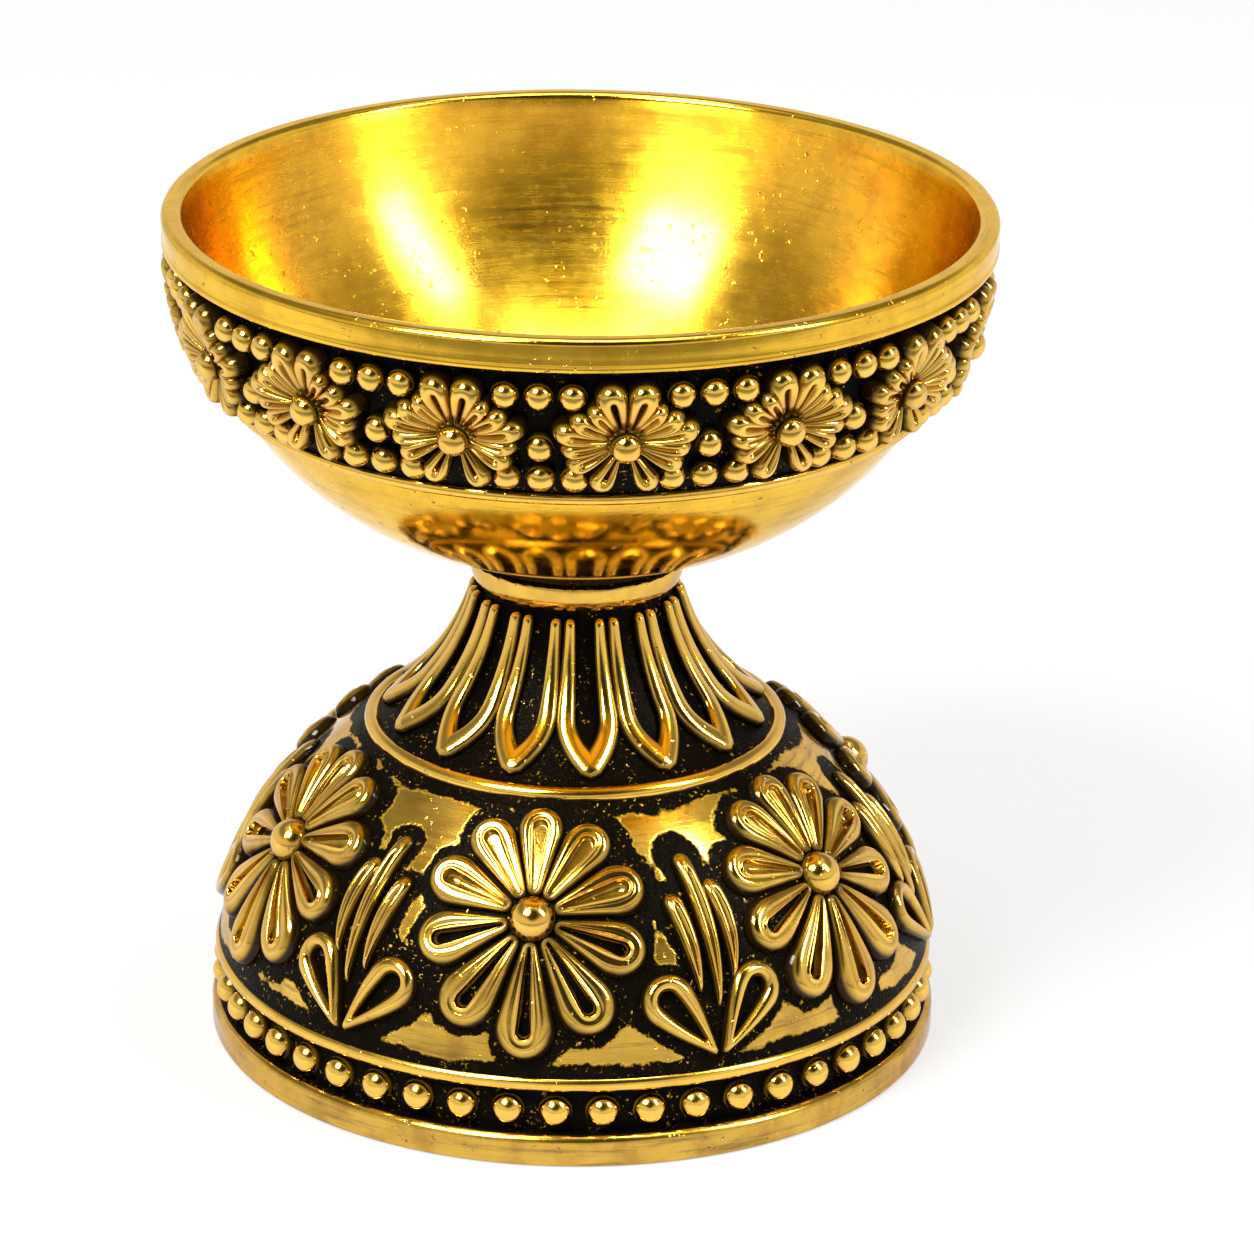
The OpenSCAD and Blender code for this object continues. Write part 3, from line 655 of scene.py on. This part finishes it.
def blade(x, y, length, lean, bow):
    """A finger-shaped leaf with a groove along its middle, from its thin foot at x, y."""
    outer = finger(0, length, 0.12, 0.54, 0.18)

    def inner(turn):
        return 0.05 * np.sin(turn) - 0.08, length * (0.14 + 0.7 * (1 - np.cos(turn)) / 2)

    up = LEAF_UP
    # Painted shade at the blade's edge and in its groove, none on its crest
    section = [(0, -0.12, 1), (0, 0.08, 1), (0.03, 0.35 * up, 1), (0.12, 0.6 * up, 0.85),
               (0.3, 0.84 * up, 0.45), (0.52, 0.98 * up, 0.1), (0.7, up, 0), (0.85, 0.92 * up, 0.25),
               (1.0, 0.66 * up, 0.75)]
    piece = leaf("blade", outer, inner, section, 44)
    across, along, z = points_of(piece).T
    share = along / length
    across = across + bow * 4 * share * (1 - share)
    angle = radians(lean)
    taper = 0.5 + 0.5 * np.sin(pi * np.clip(share, 0, 1)) ** 0.6
    move_points(piece, np.column_stack([
        x + along * sin(angle) + across * cos(angle), y + along * cos(angle) - across * sin(angle),
        np.where(z > 0, z * taper, z)]))
    return piece


bench = joined("sprig", [loop_leaf(-1), loop_leaf(1), blade(0.32, 2.6, BLADE_L, -4, 0.35),
                         blade(-0.7, 3.6, SIDE_BLADE_L, -8, 0.2), blade(1.45, 4.1, SIDE_BLADE_L, -4, 0.4)])
for number in range(DOME_FLOWERS):
    sprig = copy_of(bench, f"leaf_spray_{number + 1}")
    hand = 1 if number % 2 == 0 else -1
    points = points_of(sprig)
    move_points(sprig, points * [hand, 1, 1])
    turn = DOME_FLOWER_TURN + (number + 0.5) * 360 / DOME_FLOWERS + hand * SPRIG_TURN
    press(sprig, on_dome(SPRIG_LAT, turn))
    if hand < 0:
        deselect()
        bpy.context.view_layer.objects.active = sprig
        bpy.ops.object.mode_set(mode="EDIT")
        bpy.ops.mesh.select_all(action="SELECT")
        bpy.ops.mesh.normals_make_consistent(inside=False)
        bpy.ops.object.mode_set(mode="OBJECT")
    finish_piece(sprig, floret_brass, "floret_brass", f"leaf_sprig_{number + 1}")
    dome_ornaments.append(sprig)
bpy.data.objects.remove(bench)

# The foot wire: a half-round brass wire on the ledge between the dome and the bead channel.
# It is bent to a hoop, soldered on and rubbed bright.
FOOT_WIRE_W, FOOT_WIRE_OUT = 0.9, 0.2
bulge = FOOT_WIRE_W / 2
wire_out = sqrt(DOME_R ** 2 - (DOME_FOOT_Z - DOME_Z) ** 2) + FOOT_WIRE_OUT
half_round = arc(wire_out - bulge, CHANNEL_Z + bulge, bulge, -90, 90, 14)
foot_wire = turned("foot_hoop", [(WIRE_SEAT_R, CHANNEL_Z)] + half_round
                   + [(WIRE_SEAT_R, DOME_FOOT_Z), (WIRE_SEAT_R, CHANNEL_Z)], TURN_STEPS)
points = points_of(foot_wire) / MM
out = np.hypot(points[:, 0], points[:, 1])
note(foot_wire, "hollow", np.clip((wire_out - 0.16 - out) / 0.22, 0, 1))
finish_piece(foot_wire, wire_brass, "wire_brass", "foot_wire")

# The foot beads: forty-eight brass balls in the channel of the foot.
# They are cast granules, soldered against the channel's floor, so each is a little different.
FOOT_BEADS, FOOT_BEAD_R, FOOT_BEAD_TURN = 48, 1.0, -2.5
BEAD_SEED = 7
chance = np.random.default_rng(BEAD_SEED)
bead_z = (FOOT_H + CHANNEL_Z) / 2


def granule(bench, lift):
    """A copy of a ball from the bench, a little smaller or larger, its middle lifted off the ground."""
    piece = copy_of(bench, "bead")
    move_points(piece, points_of(piece) * chance.uniform(0.96, 1.0) + [0, 0, lift])
    return piece


def in_channel(turn):
    """The channel's floor at an angle from the front: x round it, y up, h outwards."""
    def place(x, y, h):
        return turn_round(np.column_stack([x, -(CHANNEL_R + h), bead_z + y]), turn)

    return place


beads = []
bench = ball("ball", FOOT_BEAD_R, 0, 24, 16)
for number in range(FOOT_BEADS):
    one = granule(bench, FOOT_R - FOOT_BEAD_R - CHANNEL_R)
    press(one, in_channel(FOOT_BEAD_TURN + number * 360 / FOOT_BEADS), -0.7, -0.4)
    beads.append(one)
bead_brass = brass("bead_brass", shine=0.14, mottle=0.2, pits=0.15, ragged=0.15, gloss=1.0)
foot_beads = joined("foot_granules", beads)
bpy.data.objects.remove(bench)
finish_piece(foot_beads, bead_brass, "bead_brass", "foot_beads")

# The collar: a loose brass ring between the neck and the bowl, held when the bowl is set into the neck.
# It swells from the neck to a rounded upper edge, is polished, and keeps dark spots of old stain.
COLLAR_R, COLLAR_H, COLLAR_EDGE, COLLAR_SKIRT = 6.36, 1.31, 0.3, 0.5
edge_z = PEDESTAL_H + COLLAR_H - COLLAR_EDGE
skirt_z = PEDESTAL_H - COLLAR_SKIRT
skirt_r = float(neck_at(skirt_z))
# Its outside swells from the neck along a quarter of an ellipse
swell = [(skirt_r + 0.05 + (COLLAR_R - skirt_r - 0.05) * sin(a), edge_z - (edge_z - skirt_z) * cos(a))
         for a in np.linspace(0, pi / 2, 16)]
seat = [(SOCKET_R, PEDESTAL_H), (NECK_TOP_R, PEDESTAL_H), (skirt_r, skirt_z)]
top = (arc(COLLAR_R - COLLAR_EDGE, edge_z, COLLAR_EDGE, 0, 90, 8)[1:]
       + [(SOCKET_R, PEDESTAL_H + COLLAR_H), (SOCKET_R, PEDESTAL_H)])
collar = turned("collar_ring", seat + swell + top, 160)
collar_brass = brass("collar_brass", shine=0.15, mottle=0.4, pits=1.0, ragged=1.9, grain=700)
# Painted shade: the top face and rounded edge, in the gap under the bowl, are stained black; stain also
# gathers where it meets the neck, and elsewhere leaves dark spots
rise = points_of(collar)[:, 2] / MM - skirt_z
note(collar, "hollow", np.clip(0.2 + np.maximum(0.1 - rise, rise - COLLAR_SKIRT - 1.02) * 4, 0.2, 1))
note(collar, "tarnish_and_shade", np.full(len(rise), 0.2))
finish_piece(collar, collar_brass, "wire_brass", "collar")

# The bowl: a deep round cup, cast in brass with its spigot and turned inside and out.
# The inside is brushed, the lower belly polished, and a band under the rim is left for the florets.
BOWL_Z, RIM_Z = PEDESTAL_H + COLLAR_H, 50.8
RIM_R, RIM_H, RIM_IN_R, RIM_EDGE = 24.15, 1.95, 22.9, 0.4
BELLY_R, BELLY_X, BELLY_Z = 19.77, 3.15, 50.15
WELL_DEPTH, BOWL_FOOT_R = 19.0, 5.2
SPIGOT_R, SPIGOT_L = 3.4, 7.2
GIRDLE_Z, GIRDLE_W, GIRDLE_OUT = BOWL_Z + 10.25, 0.75, 0.42
well_r = (RIM_IN_R ** 2 + WELL_DEPTH ** 2) / (2 * WELL_DEPTH)
well_z = RIM_Z - WELL_DEPTH + well_r
band_z = RIM_Z - RIM_H


def belly_at(z):
    """Radius of the bowl's outside at a height."""
    return BELLY_X + np.sqrt(BELLY_R ** 2 - (BELLY_Z - z) ** 2)


belly_low = np.degrees(np.arccos((BOWL_FOOT_R - BELLY_X) / BELLY_R))
belly_high = np.degrees(asin((BELLY_Z - band_z) / BELLY_R))
spigot = [(0, BOWL_Z - SPIGOT_L), (SPIGOT_R, BOWL_Z - SPIGOT_L), (SPIGOT_R, BOWL_Z), (BOWL_FOOT_R, BOWL_Z)]
belly_wall = arc(BELLY_X, BELLY_Z, BELLY_R, -belly_low, -belly_high, 84)
rim_foot = [(RIM_R - 0.25, band_z), (RIM_R - 0.12, band_z + 0.03), (RIM_R - 0.04, band_z + 0.11),
            (RIM_R, band_z + 0.24), (RIM_R - 0.01, band_z + 0.36), (RIM_R - 0.06, band_z + 0.46),
            (RIM_R - 0.07, band_z + 0.54)]
rim = (rim_foot + [(RIM_R - 0.03, band_z + 0.9)]
       + arc(RIM_R - RIM_EDGE, RIM_Z - RIM_EDGE, RIM_EDGE, 0, 90, 8)
       + arc(RIM_IN_R + RIM_EDGE, RIM_Z - RIM_EDGE, RIM_EDGE, 90, 170, 8))
well_high = np.degrees(asin((RIM_Z - RIM_EDGE - 0.15 - well_z) / well_r))
well = arc(0, well_z, well_r, well_high, -90, 72)
bowl = turned("oil_bowl", spigot + belly_wall + rim + well, TURN_STEPS)
points = points_of(bowl) / MM
radius = np.hypot(points[:, 0], points[:, 1])
off_wall = np.abs(radius - belly_at(np.clip(points[:, 2], BELLY_Z - BELLY_R + 1e-3, band_z)))
in_band = (off_wall < 0.02) & (points[:, 2] > GIRDLE_Z + 0.3) & (points[:, 2] < band_z + 0.01)
note(bowl, "hollow", np.where(in_band, 1.0, 0.0))
on_rim_band = (radius > RIM_R - 0.3) & (points[:, 2] > band_z + 0.4) & (points[:, 2] < RIM_Z - 0.25)
note(bowl, "tarnish_and_shade", np.where(on_rim_band, 0.06, 0.0))
bowl_brass = brass("bowl_brass", shine=0.11, mottle=0.5, pits=0.8, ragged=0.5, grain=600, brush=2.2,
                   streaks=0.25, gloss=0.25, edge=CLEAR_EDGE)
brushed_brass = brass("bowl_inside_brass", shine=0.25, mottle=0.6, pits=0.6, brush=3.5, streaks=0.3,
                      anisotropy=0.8, gloss=0.25)
finish_piece(bowl, bowl_brass, "bowl_brass", "bowl")
bowl.data.materials.append(brushed_brass)
for face in bowl.data.polygons:
    x, y, z = face.center / MM
    if z > BOWL_Z + 1 and np.hypot(np.hypot(x, y), z - well_z) < well_r + 0.05:
        face.material_index = 1

# The girdle wire: a half-round brass wire that closes the floral band below.
# It is soldered round the belly, and stain lies in the corner above it.
middle = GIRDLE_Z + GIRDLE_W / 2
bulge = GIRDLE_W / 2
girdle_out = float(belly_at(middle)) + GIRDLE_OUT
girdle_in = girdle_out - 1.2
half_round = arc(girdle_out - bulge, middle, bulge, -90, 90, 14)
girdle = turned("girdle_hoop", [(girdle_in, middle - bulge)] + half_round
                + [(girdle_in, middle + bulge), (girdle_in, middle - bulge)], TURN_STEPS)
note(girdle, "hollow", np.clip((points_of(girdle)[:, 2] / MM - middle - 0.15) / 0.25, 0, 1))
finish_piece(girdle, wire_brass, "wire_brass", "girdle_wire")

# The bowl flowers: fifteen small florets of fourteen curled petals round a ball.
# They are cut from sheet, domed in a block so that they stand off the wall, and soldered on.
BOWL_FLOWERS, BOWL_FLOWER_TURN, BOWL_FLOWER_Z = 15, 6.6, BOWL_Z + 14.7
BOWL_REACH = 4.2
# Half a flower's petals: direction from up, reach as a share of the longest, half width,
# and how high the floor of the groove lies
BOWL_PETALS = [(16.5, 0.97, 0.9, 0.3), (38, 0.8, 0.46, 0.7), (57, 0.88, 0.56, 0.76), (74, 1.0, 0.62, 0.7),
               (91, 0.86, 0.46, 0.76), (111, 0.82, 0.64, 0.7), (151, 0.78, 0.72, 0.3)]
BOWL_BALL_R, BOWL_BALL_LIFT, BOWL_PETAL_UP = 0.88, 0.8, 1.2


def on_belly(height, turn):
    """The bowl's outside at a height and an angle from the front: x round it, y up it."""
    level = asin((BELLY_Z - height) / BELLY_R)

    def place(x, y, h):
        down = level - y / BELLY_R
        r = BELLY_X + (BELLY_R + h) * np.cos(down)
        z = BELLY_Z - (BELLY_R + h) * np.sin(down)
        angle = x / (r - h * np.cos(down))
        return turn_round(np.column_stack([r * np.sin(angle), -r * np.cos(angle), z]), turn)

    return place


def bowl_petal(direction, reach, half, floor):
    """One curled petal of a bowl flower, with a groove along its middle down to a floor."""
    start = 0.5
    outer = finger(start, reach - start, 0.26, half, 0.06)
    inner = finger(start + 0.5, reach * 0.7 - start - 0.5, 0.03, half * 0.12)
    up = BOWL_PETAL_UP
    # Painted shade at the edge, fading over the flank, and deepening into the groove
    section = [(0, -0.15, 1), (0, 0.15 * up, 1), (0.04, 0.4 * up, 1), (0.1, 0.58 * up, 0.92),
               (0.2, 0.77 * up, 0.72), (0.34, 0.92 * up, 0.4), (0.5, up, 0.1), (0.66, up, 0),
               (0.8, 0.96 * up, 0.15), (0.92, 0.88 * up, 0.45), (1.0, max(0.68, floor) * up, 0.7),
               (1.06, max(0.45, floor) * up, 0.85), (1.14, floor * up, 0.9)]
    piece = leaf("petal", outer, inner, section, 40)
    x, y, z = points_of(piece).T
    share = np.clip((y - start) / (reach - start), 0, 1)
    # Painted shade deepens towards the petal's foot by the ball
    shade_towards_foot(piece, share, 0.65)
    rise = 0.5 + 0.68 * np.sin(pi / 2 * np.minimum(share / 0.8, 1)) ** 1.3
    x, y = x * cos(direction) + y * sin(direction), y * cos(direction) - x * sin(direction)
    move_points(piece, np.column_stack([x, y, np.where(z > 0, z * rise, z)]))
    return piece


petals = [bowl_petal(side * radians(direction), reach * BOWL_REACH, half, floor)
          for side in (-1, 1) for direction, reach, half, floor in BOWL_PETALS]
bench = joined("bowl_flower", petals + [ball("ball", BOWL_BALL_R, BOWL_BALL_LIFT)])
bowl_floret_brass = brass("bowl_flower_brass", shine=0.13, mottle=0.45, pits=0.5, ragged=0.4, gloss=1.0)
for number in range(BOWL_FLOWERS):
    flower = copy_of(bench, f"bowl_floret_{number + 1}")
    press(flower, on_belly(BOWL_FLOWER_Z, BOWL_FLOWER_TURN + number * 360 / BOWL_FLOWERS), 0.05, 0.25)
    finish_piece(flower, bowl_floret_brass, "floret_brass", f"bowl_flower_{number + 1}")
bpy.data.objects.remove(bench)

# The bowl granules: seven brass balls between each two flowers, three above, one and three below.
# They are soldered to the wall in the gaps of the band.
BOWL_BEAD_R, BOWL_BEAD_LIFT, BOWL_BEAD_PITCH = 0.82, 0.42, 1.8375
# For each row, its height over the flowers' middle and the places of its balls in steps of the pitch
BEAD_ROWS = [(2.85, (-1, 0, 1)), (-0.25, (0,)), (-2.2, (-1, 0, 1))]
beads = []
bench = ball("ball", BOWL_BEAD_R, 0, 24, 16)
for number in range(BOWL_FLOWERS):
    gap_turn = BOWL_FLOWER_TURN + (number + 0.5) * 360 / BOWL_FLOWERS
    for rise, row in BEAD_ROWS:
        height = BOWL_FLOWER_Z + rise
        for column in row:
            one = granule(bench, BOWL_BEAD_LIFT)
            aside = np.degrees(column * BOWL_BEAD_PITCH / belly_at(height))
            press(one, on_belly(height, gap_turn + aside), -0.4, -0.2)
            beads.append(one)
bowl_beads = joined("bowl_granules", beads)
bpy.data.objects.remove(bench)
finish_piece(bowl_beads, bead_brass, "bead_brass", "bowl_beads")

# The antique finish: the lamp is blackened all over and then rubbed back by hand.
# The stain stays close to the ornaments and in the channel, and bare brass shows in the open ground.
STAIN_START, STAIN_REACH, STAIN_WANDER, PATCH_SCALE = 1.15, 1.3, 0.55, 190
DULL_TOP, DULL_RANGE, DULL_DOME, DULL_BAND = 10, 5, 0.7, 0.4
ground = points_of(pedestal)
carried = dome_ornaments + neck_petals + [shoulder_wire, foot_wire]
feet = np.concatenate([points_of(piece) for piece in carried])
tree = kdtree.KDTree(len(feet))
for index, place in enumerate(feet):
    tree.insert(place, index)
tree.balance()
room = np.array([tree.find(place)[2] for place in ground]) / MM
radius = np.hypot(ground[:, 0], ground[:, 1]) / MM
height = ground[:, 2] / MM
on_outside = np.hypot(radius, height - DOME_Z) > DOME_R - 0.05
cloud = np.array([mathutils.noise.noise(Vector(place) * PATCH_SCALE) for place in ground])
hollow = np.clip(STAIN_START - room / STAIN_REACH - STAIN_WANDER * cloud, 0, 1)
hollow = np.where(height > SHOULDER_Z - 0.2, 1.0, hollow)
in_foot_channel = (height > FOOT_H - 0.02) & (height < DOME_FOOT_Z + 0.1) & (radius < FOOT_R - 0.2)
hollow = np.where(in_foot_channel, 1.0, hollow)
hollow = np.where(height < FOOT_H - 0.02, 0.0, hollow)
hollow = np.where(on_outside | (height > SHOULDER_Z - 0.2) | (radius > CHANNEL_R - 0.1), hollow, 0.3)
note(pedestal, "hollow", hollow)
on_foot_band = (radius > FOOT_R - 0.2) & (height < FOOT_H - 0.2)
low_on_dome = np.clip((DULL_TOP - height) / DULL_RANGE, 0, 1) * np.clip(0.5 + cloud, 0, 1)
note(pedestal, "tarnish_and_shade", np.where(on_foot_band, DULL_BAND, DULL_DOME * low_on_dome))

# The table and the studio: a white table in a white tent, bright near the horizon and overhead.
# Two soft boxes stand high to the left and right of the camera, and a third hangs over the lamp.
TABLE_NEAR, TABLE_FAR = -0.14, -0.05
scene = bpy.context.scene
scene.view_settings.view_transform = "Standard"
deselect()
bpy.ops.mesh.primitive_plane_add(size=6)
table = bpy.context.object
table.name = "table"
table_white = bpy.data.materials.new("table_white")
table_white.use_nodes = True
tree = table_white.node_tree
tree.nodes.remove(tree.nodes["Principled BSDF"])
light_path = node(tree, "LightPath")
seen = calc(tree, "MAXIMUM", light_path.outputs["Is Camera Ray"], light_path.outputs["Is Glossy Ray"])
seen = calc(tree, "MAXIMUM", seen, light_path.outputs["Is Transmission Ray"])
matt = node(tree, "BsdfDiffuse", {"Color": (0.8, 0.8, 0.8, 1)})
# Painted shade: the table's colour and glow are dimmed towards the viewer, standing in for less light on
# the table in front of the lamp
forward = node(tree, "SeparateXYZ", {0: node(tree, "TexCoord").outputs["Object"]}).outputs[1]
paper = node(tree, "BsdfDiffuse", {"Color": ramp(tree, forward, TABLE_NEAR, TABLE_FAR, 0.07, 0.2)})
strength = ramp(tree, forward, TABLE_NEAR, TABLE_FAR, 0.18, 0.62)
glow = node(tree, "Emission", {"Color": (1, 1, 1, 1), "Strength": strength})
white = node(tree, "AddShader", {0: paper.outputs[0], 1: glow.outputs[0]})
mixed = node(tree, "MixShader", {0: seen, 1: matt.outputs[0], 2: white.outputs[0]})
tree.links.new(mixed.outputs[0], tree.nodes["Material Output"].inputs["Surface"])
table.data.materials.append(table_white)

world = bpy.data.worlds.new("studio")
scene.world = world
world.use_nodes = True
tree = world.node_tree
backdrop = tree.nodes["Background"]
direction = node(tree, "TexCoord").outputs["Generated"]
up = node(tree, "SeparateXYZ", {0: direction}).outputs[2]
# The tent is greyer half way up and has a dark opening above the camera, which itself sees plain white
tent = blend_color(tree, ramp(tree, up, 0.3, 0.6), (0.86, 0.83, 0.77, 1), (0.26, 0.25, 0.22, 1))
tent = blend_color(tree, ramp(tree, up, 0.75, 0.95), tent, (0.8, 0.77, 0.7, 1))
opening = {0: direction, 1: (0, -0.7, 0.71)}
ahead = node(tree, "VectorMath", opening, operation="DOT_PRODUCT").outputs["Value"]
tent = blend_color(tree, ramp(tree, ahead, 0.8, 0.95), tent, (0.03, 0.03, 0.03, 1))
from_camera = node(tree, "LightPath").outputs["Is Camera Ray"]
tree.links.new(blend_color(tree, from_camera, tent, (1, 1, 1, 1)), backdrop.inputs["Color"])


def softbox(name, place, width, depth, watts):
    """An area light that faces the lamp."""
    aim = Vector((0, 0, 0.03))
    turn = (aim - Vector(place)).to_track_quat("-Z", "Y").to_euler()
    bpy.ops.object.light_add(type="AREA", location=place, rotation=turn)
    light = bpy.context.object
    light.name = name
    light.data.shape = "RECTANGLE"
    light.data.size = width
    light.data.size_y = depth
    light.data.energy = watts


softbox("left_box", (-0.242, -0.279, 0.473), 0.24, 0.24, 5.5)
softbox("right_box", (0.404, -0.171, 0.409), 0.10, 0.30, 2.6)
softbox("top_box", (0, 0.02, 0.62), 0.34, 0.28, 2.2)

# The camera: at the photograph's height and angle, through a long lens.
# It is turned a little to the right of the lamp and rolled by under a degree.
CAMERA_BACK, CAMERA_UP = 0.340, 0.15768
CAMERA_PITCH, CAMERA_YAW, CAMERA_ROLL = radians(90 - 21.34), radians(-0.505), 0.0141
LENS, SENSOR = 177.35, 36
aim = (Matrix.Rotation(CAMERA_YAW, 3, "Z") @ Matrix.Rotation(CAMERA_PITCH, 3, "X")
       @ Matrix.Rotation(CAMERA_ROLL, 3, "Z"))
bpy.ops.object.camera_add(location=(0, -CAMERA_BACK, CAMERA_UP), rotation=aim.to_euler())
camera = bpy.context.object
camera.data.lens = LENS
camera.data.sensor_width = SENSOR
scene.camera = camera
